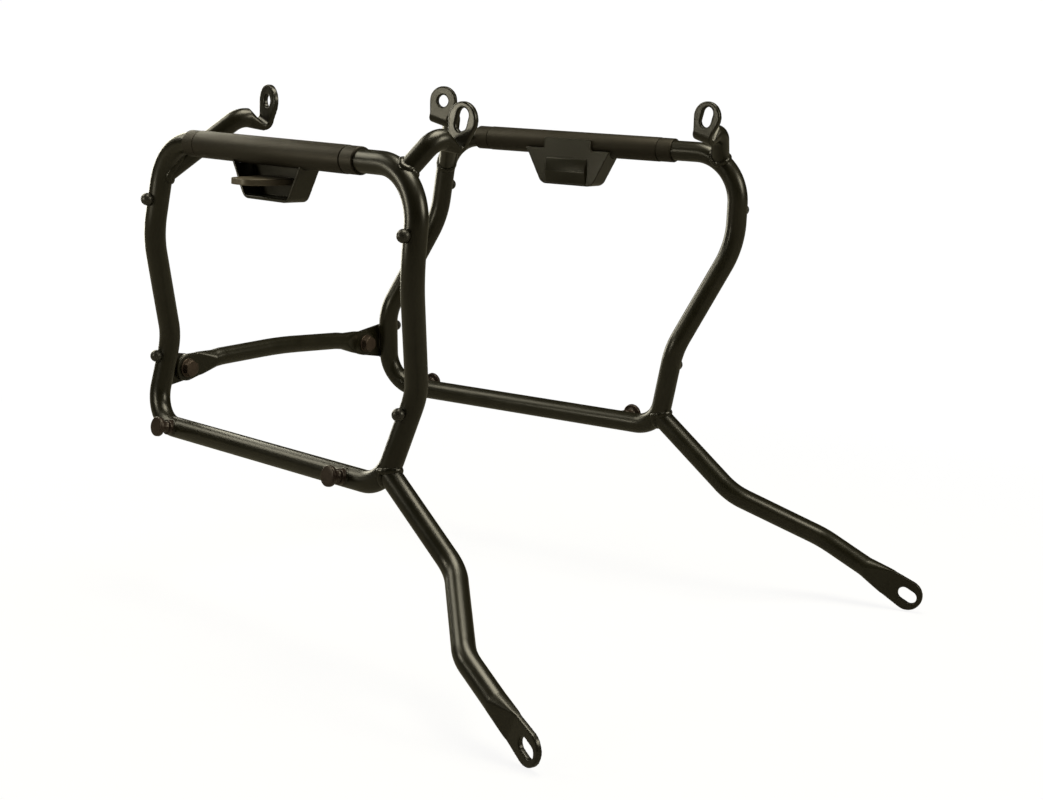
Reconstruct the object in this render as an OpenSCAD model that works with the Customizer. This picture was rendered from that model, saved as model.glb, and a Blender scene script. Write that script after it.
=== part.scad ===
// Pair of motorcycle pannier side frames with a bolted rear crossbar.
// +X points to the front of the motorcycle, +Z up, and y = 0 is the motorcycle's middle plane.
// Each piece of the right side is modelled once and mirrored for the left side.

/* [Hoop] */
// Outer diameter of the hoop tube and of the lower arm
tube_d = 18; // [16:0.5:20]
// Distance from the middle plane to the top tube, at the rear corner
half_track = 176; // [160:1:200]
// Outward travel of the hoop for each millimetre forward
toe_slope = 0.095; // [0.02:0.005:0.12]
// Length of the top tube between its two corner points
top_l = 317; // [300:1:335]
// Depth of the bottom tube below the top tube
hoop_h = 249; // [240:1:260]
// Depth of the bulge of the side tubes
bulge_drop = 80; // [74:1:86]
// How far the side tubes bulge outward there
bulge_out = 4; // [1:0.5:6]
// Depth of the waist of the side tubes
waist_drop = 174; // [168:1:180]
// How far the waist lies inboard of the top tube
waist_in = 35; // [28:1:42]
// How far the bottom tube lies inboard of the top tube
bottom_in = 21.5; // [17:0.5:25]
// Lean of the rear tube, behind the rear corner point, at the bulge
rear_bulge_lean = 14; // [8:1:20]
// The same at the waist
rear_waist_lean = 41; // [35:1:47]
// The same at the bottom
rear_bottom_lean = 49; // [43:1:55]
// Lean of the front tube, behind the front corner point, at the bulge
front_bulge_lean = 3; // [0:1:9]
// The same at the waist
front_waist_lean = 34; // [28:1:40]
// The same at the bottom
front_bottom_lean = 56; // [50:1:62]
// Bend radius of the two top corners
top_bend_r = 42; // [34:1:46]
// Bend radius at the bulge
bulge_bend_r = 80; // [60:1:100]
// Bend radius at the waist
waist_bend_r = 45; // [35:1:55]
// Bend radius of the two bottom corners
bottom_bend_r = 30; // [26:1:34]

/* [Sleeve] */
// Outer diameter of the moulded sleeve
sleeve_d = 22; // [21:0.5:24]
// Distance from the rear bend to the sleeve
sleeve_gap = 1; // [0.5:0.5:4]
// Length of the sleeve with its end collars
sleeve_l = 216; // [200:1:222]
// Diameter of the end collars
collar_d = 20.4; // [20.2:0.1:20.8]
// Length of each end collar
collar_l = 9; // [6:1:12]

/* [Upper arms] */
// Outer diameter of the two upper arms
arm_d = 16; // [14:0.5:17]
// Rear eye, ahead of the rear corner point
rear_eye_x = 51; // [46:1:56]
// Rear eye, inboard of the line of the top tube
rear_eye_in = 72; // [67:1:80]
// Rear eye, above the top tube
rear_eye_z = 35; // [31:1:40]
// Front eye, behind the front corner point
front_eye_back = 4; // [-3:1:9]
// Front eye, inboard of the line of the top tube
front_eye_in = 48; // [44:1:56]
// Front eye, above the top tube
front_eye_z = 33; // [30:1:38]
// Forward lean of the eye plates, in degrees
eye_lean = 16; // [4:1:24]
// How far the rear eye's plate is turned to face rearward, in degrees
rear_eye_turn = 15; // [2:1:20]
// Bend radius of the upper arms
arm_bend_r = 16; // [14:1:18]
// Where the rear arm starts, as a share of the rear top bend from its lower end
rear_root_share = 0.1; // [0:0.05:0.4]
// Where the front arm starts, as a share of the front top bend from its lower end
front_root_share = 0.6; // [0.4:0.05:0.8]

/* [Flattened ends] */
// Outer radius of an eye
eye_r = 13.5; // [12.5:0.5:15]
// Thickness of the flattened tube
flat_t = 4.5; // [3.5:0.5:5]
// Width of the flattened tube at the neck of an eye
neck_w = 19; // [16:0.5:22]
// Distance from an upper eye's centre to its neck
neck_l = 15; // [14:0.5:17]
// Inner radius of the fold under an upper eye
fold_inner_r = 3.5; // [2.5:0.5:5]
// Length over which an upper arm goes from round to flat
taper_l = 12; // [10:1:15]
// Width of the slots
slot_w = 11; // [8.5:0.5:12]
// Length of the slots, end to end
slot_l = 18; // [14:0.5:19]
// Diameter of the round hole in the rear eye
rear_hole_d = 11; // [8.5:0.5:12]

/* [Lower arm] */
// First bend, ahead of the front corner point
low_bend_1_x = 25; // [19:1:31]
// First bend, inboard of the line of the top tube
low_bend_1_in = 24; // [18:1:28]
// First bend, below the bottom tube
low_bend_1_drop = 49; // [43:1:55]
// Second bend, ahead of the front corner point
low_bend_2_x = 87; // [81:1:93]
// Second bend, outboard of the line of the top tube
low_bend_2_out = 28; // [22:1:34]
// Second bend, below the bottom tube
low_bend_2_drop = 88; // [82:1:94]
// Eye of the lower arm, ahead of the front corner point
low_eye_x = 164; // [159:1:173]
// Eye of the lower arm, outboard of the line of the top tube
low_eye_out = 41; // [36:1:46]
// Eye of the lower arm, below the bottom tube
low_eye_drop = 129; // [123:1:135]
// Bend radius of the lower arm
low_bend_r = 40; // [30:1:50]
// Distance from the lower eye's centre to its neck
low_neck_l = 20; // [16:1:24]
// Width of the flattened tube at the neck of the lower eye
low_neck_w = 24; // [20:0.5:26]
// Where the lower arm starts, as a share of the front bottom bend from its rear end
low_root_share = 0.7; // [0.4:0.05:0.9]
// Length over which the lower arm goes from round to flat
low_taper_l = 24; // [18:1:28]

/* [Latch bracket] */
// Sheet thickness of the bracket
sheet_t = 2.5; // [2:0.5:3]
// Width of the bracket under the sleeve
bracket_w = 92; // [84:1:100]
// Width of the bracket at its bottom
bracket_bottom_w = 56; // [52:1:62]
// Depth of the bracket below the sleeve's axis
bracket_drop = 38; // [35:1:44]
// Reach of the bracket from the sleeve's axis, outboard
bracket_out = 7; // [5:0.5:8]
// Width of the tab that climbs the inner side of the sleeve
tab_w = 52; // [44:1:56]
// Height of that tab above the sleeve's axis
tab_rise = 5; // [2:0.5:7]
// Thickness of the tongue
tongue_t = 5; // [4:0.5:6]
// Width of the tongue at its root
tongue_w = 42; // [38:1:46]
// Width of the tongue at its tip
tongue_tip_w = 30; // [27:1:36]
// Reach of the tongue from the sleeve's axis, outboard
tongue_out = 34; // [30:1:40]
// Depth of the tongue's top face below the sleeve's axis
tongue_drop = 20; // [16:1:23]
// Corner radius of the tongue's tip
tongue_tip_r = 11; // [8:1:13]

/* [Crossbar] */
// Outer diameter of the crossbar tube
bar_d = 16; // [14:0.5:18]
// Bolt of the crossbar, inboard of the rear tube's axis
bar_bolt_in = 29.5; // [28:0.5:33]
// Bolt of the crossbar, above the bottom tube
bar_bolt_rise = 44; // [41:1:49]
// Height of the tube's ends above the bolts
bar_rise = 6; // [2:0.5:7]
// Extra rise of the arch at the middle plane
bar_arch = 3; // [1:0.5:6]
// Outer radius of the flattened ends
bar_end_r = 12; // [11:0.5:13]
// Distance from a bolt to the neck of the flattened end
bar_neck_l = 13; // [12.5:0.5:16]
// Width of the flattened end at the neck
bar_neck_w = 21; // [18:0.5:22]
// Length over which the crossbar goes from round to flat
bar_taper_l = 18; // [14:1:24]
// Thickness of the lug on each hoop
lug_t = 3; // [2.5:0.5:4]
// Height of the lug where it meets the hoop
lug_h = 34; // [28:1:38]
// How deep the lug's front face lies in from the back of the tube
lug_bite = 2; // [1.5:0.5:2.5]

/* [Fasteners] */
// Nominal diameter of the bolts
bolt_d = 8; // [6:1:8]
// Clearance of the bolts in their holes, on the diameter
bolt_play = 0.5; // [0.3:0.1:1]
// Width across the flats of bolt head and nut
bolt_af = 13; // [12:0.5:14]
// Height of the bolt head
head_h = 5.3; // [4:0.1:6]
// Height of the nut
nut_h = 6.5; // [5:0.1:7]
// Outer diameter of the washer
washer_d = 17; // [15:0.5:18]
// Thickness of the washer
washer_t = 1.6; // [1:0.1:2]
// Length of thread that stands out of the nut
bolt_tail = 3; // [1:0.5:5]

/* [Pins and bumpers] */
// Diameter of the pin heads
pin_head_d = 17; // [15:0.5:19]
// Thickness of the pin heads
pin_head_t = 4; // [3:0.5:5]
// Diameter of a pin's neck
pin_neck_d = 9; // [7:0.5:11]
// Diameter of the ring at the foot of a pin
pin_foot_d = 13; // [12:0.5:14]
// Thickness of that ring, above the tube
pin_foot_t = 4; // [2:0.5:5]
// Reach of a pin from the tube's axis
pin_out = 24; // [21:0.5:27]
// Upward tilt of the pins, in degrees
pin_tilt = 10; // [1:1:15]
// Distance of the rear pin from the rear bottom corner point
rear_pin_x = 38; // [36:1:50]
// Distance of the front pin from the front bottom corner point
front_pin_x = 40; // [38:1:55]
// Diameter of the ball bumpers
ball_d = 10.5; // [10:0.5:12]
// Distance from the tube's axis to a ball's centre
ball_out = 11.5; // [10.5:0.5:13]
// Diameter of the stem under a ball
stem_d = 8; // [6:0.5:9]
// Height of the flat under a ball, above the tube
ball_seat = 0.8; // [0.5:0.1:1.5]
// Depth of the upper bumpers below the top tube
upper_ball_drop = 49; // [46:1:54]
// Depth of the lower bumpers below the top tube
lower_ball_drop = 190; // [186:1:196]

/* [Hidden] */
$fn = 48;

steel = "#23211b";
plastic = "#2c2a25";
zinc = "#4a463c";
rubber = "#1d1c19";

r_tube = tube_d / 2;
r_sleeve = sleeve_d / 2;
fit = 0.05; // gap between the sleeve and its tube, at the welds, and round a bolt in its nut
seat = 0.6; // depth to which the bracket is hollowed to seat on the sleeve
lap = 0.4; // length by which the runs and bends of one bar reach into each other
swell = 0.05; // extra thickness, on each side, of the outer one of the two there
skin = 0.6; // thickness of the two ends of a round-to-flat change
knee_share = 0.55; // run before a knee, as a share of its bend radius
bar_run = 8; // straight run of the crossbar between its flattening and its end bend
bar_bend_r = 60; // radius of that bend
arch_r = 500; // bend radius of the arch of the crossbar
bracket_top = 5; // top of the bracket's walls, below the sleeve's axis
up = [0, 0, 1];
toe = atan(toe_slope);
along = [cos(toe), -sin(toe), 0];
outward = [-sin(toe), -cos(toe), 0];

// Point of the right side: forward, outboard of the line of the top tube, and up
function at(x, off, z) = [x, -(half_track + toe_slope * x + off), z];
function unit(v) = v / norm(v);
function mix(a, b, k) = a + (b - a) * k;
function at_height(a, b, z) = mix(a, b, (z - a.z) / (b.z - a.z));
function turn_at(a, b, c) = 180 - acos(unit(a - b) * unit(c - b));
function tangent_l(a, b, c, r) = r * tan(turn_at(a, b, c) / 2);
function bend_centre(a, b, c, r) = b + unit(unit(a - b) + unit(c - b)) * r / cos(turn_at(a, b, c) / 2);

// Point of a bend's axis, from the end toward a (k = 0) to the end toward c (k = 1)
function on_bend(a, b, c, r, k) = bend_centre(a, b, c, r) + r * unit(mix(
    b + unit(a - b) * tangent_l(a, b, c, r) - bend_centre(a, b, c, r),
    b + unit(c - b) * tangent_l(a, b, c, r) - bend_centre(a, b, c, r), k));

// Where the line from p touches the circle round c, on p's left or on its right
function touch_at(c, r, p, s) = c + r * [cos(atan2(p.y - c.y, p.x - c.x) + s * acos(r / norm(p - c))),
    sin(atan2(p.y - c.y, p.x - c.x) + s * acos(r / norm(p - c)))];
function touch(c, r, p) = touch_at(c, r, p, 1);
function touch_left(c, r, p) = touch_at(c, r, p, -1);
function flip(p) = [p.x, -p.y, p.z];

corner_r = at(0, 0, 0);
corner_f = at(top_l, 0, 0);
bulge_r = at(-rear_bulge_lean, bulge_out, -bulge_drop);
bulge_f = at(top_l - front_bulge_lean, bulge_out, -bulge_drop);
waist_r = at(-rear_waist_lean, -waist_in, -waist_drop);
waist_f = at(top_l - front_waist_lean, -waist_in, -waist_drop);
bottom_r = at(-rear_bottom_lean, -bottom_in, -hoop_h);
bottom_f = at(top_l - front_bottom_lean, -bottom_in, -hoop_h);
hoop_path = [corner_r, bulge_r, waist_r, bottom_r, bottom_f, waist_f, bulge_f, corner_f];
hoop_bends = [top_bend_r, bulge_bend_r, waist_bend_r, bottom_bend_r,
    bottom_bend_r, waist_bend_r, bulge_bend_r, top_bend_r];

rear_eye = at(rear_eye_x, -rear_eye_in, rear_eye_z);
front_eye = at(top_l - front_eye_back, -front_eye_in, front_eye_z);
low_bend_1 = at(top_l + low_bend_1_x, -low_bend_1_in, -hoop_h - low_bend_1_drop);
low_bend_2 = at(top_l + low_bend_2_x, low_bend_2_out, -hoop_h - low_bend_2_drop);
low_eye = at(top_l + low_eye_x, low_eye_out, -hoop_h - low_eye_drop);
low_dir = unit(low_eye - low_bend_2);
low_through = unit([low_dir.y, -low_dir.x, 0]);

// The lug's front face carries the flattened end of the crossbar
bar_bolt_drop = hoop_h - bar_bolt_rise;
lug_root = at_height(waist_r, bottom_r, -bar_bolt_drop);
bar_bolt_y = -lug_root.y - bar_bolt_in;
lug_front = lug_root.x - r_tube + lug_bite;
bar_bolt = [lug_front + flat_t / 2, -bar_bolt_y, -bar_bolt_drop];
bar_flat_l = bar_neck_l + bar_taper_l;
bar_tip = asin(bar_rise / (bar_flat_l + bar_run));
bar_dir = [0, -cos(bar_tip), -sin(bar_tip)];
bar_end = bar_bolt - bar_dir * bar_flat_l;
bar_knee = bar_end - bar_dir * bar_run;

sleeve_start = tangent_l(bulge_r, corner_r, corner_f, top_bend_r) + sleeve_gap;
latch = corner_r + along * (sleeve_start + sleeve_l / 2);
bottom_l = norm(bottom_f - bottom_r);

// The origin is the centre of the box round the whole assembly
x_back = lug_front - lug_t - nut_h - bolt_tail;
x_front = low_eye.x + eye_r * sqrt(1 - pow(low_through.x, 2)) + flat_t / 2 * abs(low_through.x);
z_top = max(rear_eye_z, front_eye_z) + eye_r;
z_bottom = low_eye.z - eye_r;
centre = [(x_back + x_front) / 2, 0, (z_top + z_bottom) / 2];

// Coordinate frame from an origin and its first two axes
module place(o, ex, ey) {
    ez = cross(ex, ey);
    multmatrix([[ex.x, ey.x, ez.x, o.x], [ex.y, ey.y, ez.y, o.y], [ex.z, ey.z, ez.z, o.z]]) children();
}

// Frame whose third axis follows a direction
module face_along(o, dir) {
    d = unit(dir);
    side = unit(cross(abs(d.z) < 0.9 ? up : [1, 0, 0], d));
    place(o, side, cross(d, side)) children();
}

module rod(a, b, r) {
    face_along(a, b - a) cylinder(h = norm(b - a), r = r);
}

// Bend of a round bar at b, between its straight runs to a and to c
module elbow(a, b, c, bend_r, r) {
    u = unit(a - b);
    start = b + u * tangent_l(a, b, c, bend_r);
    middle = bend_centre(a, b, c, bend_r);
    place(middle, unit(start - middle), -u)
        rotate_extrude(angle = turn_at(a, b, c), $fn = 96) translate([bend_r, 0]) circle(r + swell);
}

// Round bar through a list of points, with a bend radius for each inner point
module bent_bar(pts, bends, r, closed = false) {
    n = len(pts);
    last = closed ? n - 1 : n - 2;
    first_bend = closed ? 0 : 1;
    for (i = [0 : last]) {
        a = pts[i];
        b = pts[(i + 1) % n];
        cut_a = closed || i > 0 ? tangent_l(pts[(i + n - 1) % n], a, b, bends[i]) : 0;
        cut_b = closed || i < last ? tangent_l(a, b, pts[(i + 2) % n], bends[(i + 1) % n]) : 0;
        rod(a + unit(b - a) * (cut_a - lap), b + unit(a - b) * (cut_b - lap), r);
    }
    for (i = [first_bend : last])
        elbow(pts[(i + n - 1) % n], pts[i], pts[(i + 1) % n], bends[i], r);
}

// Round bar of the cut at a hoop corner, a little thicker than the tube
module hoop_cut(i) {
    n = len(hoop_path);
    bent_bar([hoop_path[(i + n - 1) % n], hoop_path[i], hoop_path[(i + 1) % n]],
        [0, hoop_bends[i], 0], r_tube + fit);
}

// Eye plate with its hole at the origin; z points away from the arm and y through the plate
module eye_plate(r, neck, width, hole_l, hole_w) {
    edge = touch([0, 0], r, [width / 2, -neck]);
    rotate([90, 0, 0]) linear_extrude(flat_t, center = true) difference() {
        union() {
            circle(r);
            polygon([[-width / 2, -neck - lap], [width / 2, -neck - lap], [width / 2, -neck],
                edge, [-edge.x, edge.y], [-width / 2, -neck]]);
        }
        for (s = hole_l > hole_w ? [-1, 1] : [0])
            translate([0, s * (hole_l - hole_w) / 2]) circle(d = hole_w);
        if (hole_l > hole_w) square([hole_w, hole_l - hole_w], center = true);
    }
}

// Round-to-flat change: flat end at z = 0, round end at z = l and moved by rise along y
module flattening(l, r, width, rise) {
    hull() {
        translate([0, 0, skin / 2]) cube([width + 4 * swell, flat_t + 4 * swell, skin], center = true);
        translate([0, rise, l - skin]) cylinder(h = skin, r = r + 2 * swell, $fn = 32);
    }
}

// Upper arm from its root on the hoop to its eye; the flattened end folds up into the eye plate
module upper_arm(root, eye, turn, hole_l) {
    wide = [cos(turn), -sin(turn), 0];
    inboard = [sin(turn), cos(turn), 0];
    rise = up * cos(eye_lean) + wide * sin(eye_lean);
    fold_r = fold_inner_r + flat_t / 2;
    lap_turn = lap / fold_r * 180 / PI;
    flush = (arm_d - flat_t) / 2;
    round_end = eye - inboard * (fold_r + taper_l) + rise * (flush - neck_l - fold_r);
    knee = round_end - inboard * knee_share * arm_bend_r;
    bent_bar([root, knee, round_end], [0, arm_bend_r, 0], arm_d / 2);
    place(eye, cross(inboard, rise), inboard) {
        eye_plate(eye_r, neck_l, neck_w, hole_l, hole_l > rear_hole_d ? slot_w : hole_l);
        place([0, -fold_r, -neck_l], [0, 1, 0], [0, 0, -1]) rotate_extrude(angle = 90 + lap_turn)
            translate([fold_r, 0]) square([flat_t + 2 * swell, neck_w + 2 * swell], center = true);
        place([0, -fold_r, -neck_l - fold_r], [1, 0, 0], [0, 0, 1])
            flattening(taper_l, arm_d / 2, neck_w, flush);
    }
}

module hoop() {
    color(steel) bent_bar(hoop_path, hoop_bends, r_tube, closed = true);
}

module sleeve() {
    color(plastic) face_along(corner_r + along * sleeve_start, along) difference() {
        union() {
            cylinder(h = sleeve_l, d = collar_d);
            translate([0, 0, collar_l]) cylinder(h = sleeve_l - 2 * collar_l, r = r_sleeve);
        }
        translate([0, 0, -1]) cylinder(h = sleeve_l + 2, r = r_tube + fit);
    }
}

module rear_arm() {
    color(steel) difference() {
        upper_arm(on_bend(bulge_r, corner_r, corner_f, top_bend_r, rear_root_share), rear_eye,
            rear_eye_turn, rear_hole_d);
        hoop_cut(0);
    }
}

module front_arm() {
    color(steel) difference() {
        upper_arm(on_bend(bulge_f, corner_f, corner_r, top_bend_r, front_root_share), front_eye,
            0, slot_l);
        hoop_cut(7);
    }
}

module lower_arm() {
    root = on_bend(bottom_r, bottom_f, waist_f, bottom_bend_r, low_root_share);
    round_end = low_eye - low_dir * (low_neck_l + low_taper_l);
    color(steel) difference() {
        union() {
            bent_bar([root, low_bend_1, low_bend_2, round_end], [0, low_bend_r, low_bend_r, 0], r_tube);
            place(low_eye, cross(low_through, low_dir), low_through) {
                eye_plate(eye_r, low_neck_l, low_neck_w, slot_l, slot_w);
                place([0, 0, -low_neck_l], [-1, 0, 0], [0, 1, 0])
                    flattening(low_taper_l, r_tube, low_neck_w, 0);
            }
        }
        hoop_cut(4);
    }
}

// Folded sheet box under the sleeve, open at its top and at its outboard side
module latch_bracket() {
    back = seat - r_sleeve;
    slope = (bracket_w - bracket_bottom_w) / 2 / (bracket_drop - bracket_top);
    color(steel) difference() {
        place(latch, along, outward) {
            difference() {
                translate([0, bracket_out, 0]) rotate([90, 0, 0])
                    linear_extrude(bracket_out - back + sheet_t) trapezoid(bracket_w / 2,
                        bracket_bottom_w / 2, bracket_top, bracket_drop);
                translate([0, bracket_out + 1, 0]) rotate([90, 0, 0])
                    linear_extrude(bracket_out - back + 1) trapezoid(
                        bracket_w / 2 - sheet_t + slope, bracket_bottom_w / 2 - sheet_t + slope * sheet_t,
                        bracket_top - 1, bracket_drop - sheet_t);
            }
            translate([-tab_w / 2, back - sheet_t, -tab_rise])
                cube([tab_w, sheet_t, tab_rise + bracket_top + 1]);
        }
        face_along(corner_r, along) cylinder(h = top_l, r = r_sleeve + fit);
    }
}

module trapezoid(top_half, bottom_half, top, bottom) {
    polygon([[-top_half, top], [top_half, top], [bottom_half, bottom], [-bottom_half, bottom]]);
}

module latch_tongue() {
    root_y = seat - r_sleeve;
    tip = [tongue_tip_w / 2 - tongue_tip_r, tongue_out - tongue_tip_r];
    flank = touch(tip, tongue_tip_r, [tongue_w / 2, root_y]);
    color(steel) place(latch, along, outward) translate([0, 0, tongue_drop])
        linear_extrude(tongue_t) union() {
            for (s = [-1, 1]) translate([s * tip.x, tip.y]) circle(tongue_tip_r);
            polygon([[-tongue_w / 2, root_y], [tongue_w / 2, root_y], flank, [tip.x, tongue_out],
                [-tip.x, tongue_out], [-flank.x, flank.y]]);
        }
}

// Plate behind the crossbar's flattened end, welded to the rear tube
module crossbar_lug() {
    bolt_at = [-bar_bolt_y, -bar_bolt_drop];
    weld = [[lug_root.y, lug_root.z - lug_h / 2], [lug_root.y, lug_root.z + lug_h / 2]];
    low = touch(bolt_at, bar_end_r, weld[0]);
    high = touch_left(bolt_at, bar_end_r, weld[1]);
    color(steel) difference() {
        place([lug_front - lug_t, 0, 0], [0, 1, 0], up) linear_extrude(lug_t) difference() {
            union() {
                translate(bolt_at) circle(bar_end_r);
                polygon([weld[0], low, high, weld[1]]);
            }
            translate(bolt_at) circle(d = bolt_d + bolt_play);
        }
        hoop_cut(2);
    }
}

module crossbar() {
    color(steel) {
        bent_bar([flip(bar_end), flip(bar_knee), [bar_bolt.x, 0, bar_knee.z + bar_arch], bar_knee, bar_end],
            [0, bar_bend_r, arch_r, bar_bend_r, 0], bar_d / 2);
        for (s = [0, 1]) mirror([0, s, 0]) place(bar_bolt, cross([1, 0, 0], bar_dir), [1, 0, 0]) {
            eye_plate(bar_end_r, bar_neck_l, bar_neck_w, bolt_d + bolt_play, bolt_d + bolt_play);
            place([0, 0, -bar_neck_l], [-1, 0, 0], [0, 1, 0])
                flattening(bar_taper_l, bar_d / 2, bar_neck_w, 0);
        }
    }
}

// Frame of the bolt: z = 0 is the front face of the crossbar's flattened end, z points forward
module at_bolt(z) {
    place([lug_front + flat_t + z, -bar_bolt_y, -bar_bolt_drop], [0, 1, 0], up) children();
}

module crossbar_washer() {
    color(zinc) at_bolt(0) difference() {
        cylinder(h = washer_t, d = washer_d);
        translate([0, 0, -1]) cylinder(h = washer_t + 2, d = bolt_d + bolt_play);
    }
}

module crossbar_bolt() {
    color(zinc) at_bolt(washer_t) {
        cylinder(h = head_h, d = bolt_af / cos(30), $fn = 6);
        rotate([180, 0, 0]) cylinder(h = washer_t + flat_t + lug_t + nut_h + bolt_tail, d = bolt_d);
    }
}

module crossbar_nut() {
    color(zinc) at_bolt(-flat_t - lug_t - nut_h) difference() {
        cylinder(h = nut_h, d = bolt_af / cos(30), $fn = 6);
        translate([0, 0, -1]) cylinder(h = nut_h + 2, r = bolt_d / 2 + fit);
    }
}

// Mushroom pin on the bottom tube, x from the rear corner point of that tube
module pin(x) {
    color(steel) difference() {
        face_along(bottom_r + along * x, outward * cos(pin_tilt) + up * sin(pin_tilt)) {
            cylinder(h = r_tube + pin_foot_t, d = pin_foot_d);
            cylinder(h = pin_out, d = pin_neck_d);
            translate([0, 0, pin_out - pin_head_t]) cylinder(h = pin_head_t, d = pin_head_d);
        }
        rod(bottom_r, bottom_f, r_tube + fit);
    }
}

// Ball bumper on the outer face of a side tube's straight run
module bumper(a, b, drop) {
    color(rubber) difference() {
        face_along(at_height(a, b, -drop), outward) {
            cylinder(h = ball_out, d = stem_d);
            rotate_extrude() intersection() {
                translate([0, ball_out]) circle(d = ball_d);
                translate([0, r_tube + ball_seat]) square(ball_d + ball_out);
            }
        }
        rod(a, b, r_tube + fit);
    }
}

module right() {
    translate(-centre) children();
}

module left() {
    translate(-centre) mirror([0, 1, 0]) children();
}

right() hoop();  // right_hoop
left() hoop();  // left_hoop
right() sleeve();  // right_sleeve
left() sleeve();  // left_sleeve
right() rear_arm();  // right_rear_arm
left() rear_arm();  // left_rear_arm
right() front_arm();  // right_front_arm
left() front_arm();  // left_front_arm
right() lower_arm();  // right_lower_arm
left() lower_arm();  // left_lower_arm
right() latch_bracket();  // right_latch_bracket
left() latch_bracket();  // left_latch_bracket
right() latch_tongue();  // right_latch_tongue
left() latch_tongue();  // left_latch_tongue
right() crossbar_lug();  // right_crossbar_lug
left() crossbar_lug();  // left_crossbar_lug
right() pin(rear_pin_x);  // right_rear_pin
left() pin(rear_pin_x);  // left_rear_pin
right() pin(bottom_l - front_pin_x);  // right_front_pin
left() pin(bottom_l - front_pin_x);  // left_front_pin
right() bumper(corner_r, bulge_r, upper_ball_drop);  // right_upper_rear_bumper
left() bumper(corner_r, bulge_r, upper_ball_drop);  // left_upper_rear_bumper
right() bumper(corner_f, bulge_f, upper_ball_drop);  // right_upper_front_bumper
left() bumper(corner_f, bulge_f, upper_ball_drop);  // left_upper_front_bumper
right() bumper(waist_r, bottom_r, lower_ball_drop);  // right_lower_rear_bumper
left() bumper(waist_r, bottom_r, lower_ball_drop);  // left_lower_rear_bumper
right() bumper(waist_f, bottom_f, lower_ball_drop);  // right_lower_front_bumper
left() bumper(waist_f, bottom_f, lower_ball_drop);  // left_lower_front_bumper
right() crossbar_bolt();  // right_crossbar_bolt
left() crossbar_bolt();  // left_crossbar_bolt
right() crossbar_washer();  // right_crossbar_washer
left() crossbar_washer();  // left_crossbar_washer
right() crossbar_nut();  // right_crossbar_nut
left() crossbar_nut();  // left_crossbar_nut
right() crossbar();
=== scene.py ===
import bpy, bmesh, math
import numpy as np
from mathutils import Matrix, Vector


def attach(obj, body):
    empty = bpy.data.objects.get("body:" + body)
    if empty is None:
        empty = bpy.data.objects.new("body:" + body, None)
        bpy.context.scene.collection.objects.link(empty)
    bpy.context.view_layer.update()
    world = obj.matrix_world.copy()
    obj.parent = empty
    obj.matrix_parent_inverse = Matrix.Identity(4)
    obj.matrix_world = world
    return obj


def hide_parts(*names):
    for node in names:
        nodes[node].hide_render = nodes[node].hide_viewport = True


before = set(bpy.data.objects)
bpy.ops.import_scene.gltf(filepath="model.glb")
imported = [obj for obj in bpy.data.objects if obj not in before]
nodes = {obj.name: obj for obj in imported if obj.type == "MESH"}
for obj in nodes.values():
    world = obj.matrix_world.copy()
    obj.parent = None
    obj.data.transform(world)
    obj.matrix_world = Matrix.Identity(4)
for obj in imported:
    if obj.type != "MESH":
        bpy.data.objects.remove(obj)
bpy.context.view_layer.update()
modelCentre = Vector((215.4103, 0.0, -171.5))  # the model's origin, in the bike millimetres used below
track = {"half": 176.0, "slope": 0.095}  # the frames stand wider apart towards the front
up = Vector((0, 0, 1))
along = Vector((1, -track["slope"], 0)).normalized()
outward = Vector((-track["slope"], -1, 0)).normalized()


def sidePoint(x, out, z):  # a point of the right side, out = distance outboard of the top tube's line
    return Vector((x, -(track["half"] + track["slope"] * x + out), z))


# camera
camera = {
    "place": (1.03123, -1.20829, 0.25978),
    "right": (0.765937, 0.641965, 0.034943),
    "up": (-0.144453, 0.118879, 0.982345),
    "lens": 65.475,
}
cameraData = bpy.data.cameras.new("studioCamera")
cameraData.sensor_width = 36
cameraData.sensor_fit = "HORIZONTAL"
cameraData.lens = camera["lens"]
cameraData.clip_start = 0.02
cameraObject = bpy.data.objects.new("studioCamera", cameraData)
bpy.context.scene.collection.objects.link(cameraObject)
camRight = Vector(camera["right"]).normalized()
camBack = camRight.cross(Vector(camera["up"])).normalized()
turnIn = Matrix((camRight, camBack.cross(camRight), camBack)).transposed().to_4x4()
cameraObject.matrix_world = Matrix.Translation(camera["place"]) @ turnIn
bpy.context.scene.camera = cameraObject
bpy.context.scene.view_settings.view_transform = "Standard"
print("camera set")


# materials
def makeGrainGroup():
    group = bpy.data.node_groups.new("surfaceGrain", "ShaderNodeTree")
    for name, value in (("Fine Scale", 900.0), ("Broad Scale", 60.0), ("Broad Share", 0.3)):
        socket = group.interface.new_socket(name, in_out="INPUT", socket_type="NodeSocketFloat")
        socket.default_value = value
    for name in ("Height", "Cloud"):
        group.interface.new_socket(name, in_out="OUTPUT", socket_type="NodeSocketFloat")
    n, link = group.nodes, group.links.new
    inside, outside = n.new("NodeGroupInput"), n.new("NodeGroupOutput")
    spot = n.new("ShaderNodeTexCoord")
    fine, broad = n.new("ShaderNodeTexNoise"), n.new("ShaderNodeTexNoise")
    fine.inputs["Detail"].default_value = 2.0
    broad.inputs["Detail"].default_value = 5.0
    mix = n.new("ShaderNodeMix")
    link(spot.outputs["Object"], fine.inputs["Vector"])
    link(spot.outputs["Object"], broad.inputs["Vector"])
    link(inside.outputs["Fine Scale"], fine.inputs["Scale"])
    link(inside.outputs["Broad Scale"], broad.inputs["Scale"])
    link(inside.outputs["Broad Share"], mix.inputs["Factor"])
    link(fine.outputs["Fac"], mix.inputs["A"])
    link(broad.outputs["Fac"], mix.inputs["B"])
    link(mix.outputs["Result"], outside.inputs["Height"])
    link(broad.outputs["Fac"], outside.inputs["Cloud"])
    return group


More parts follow.
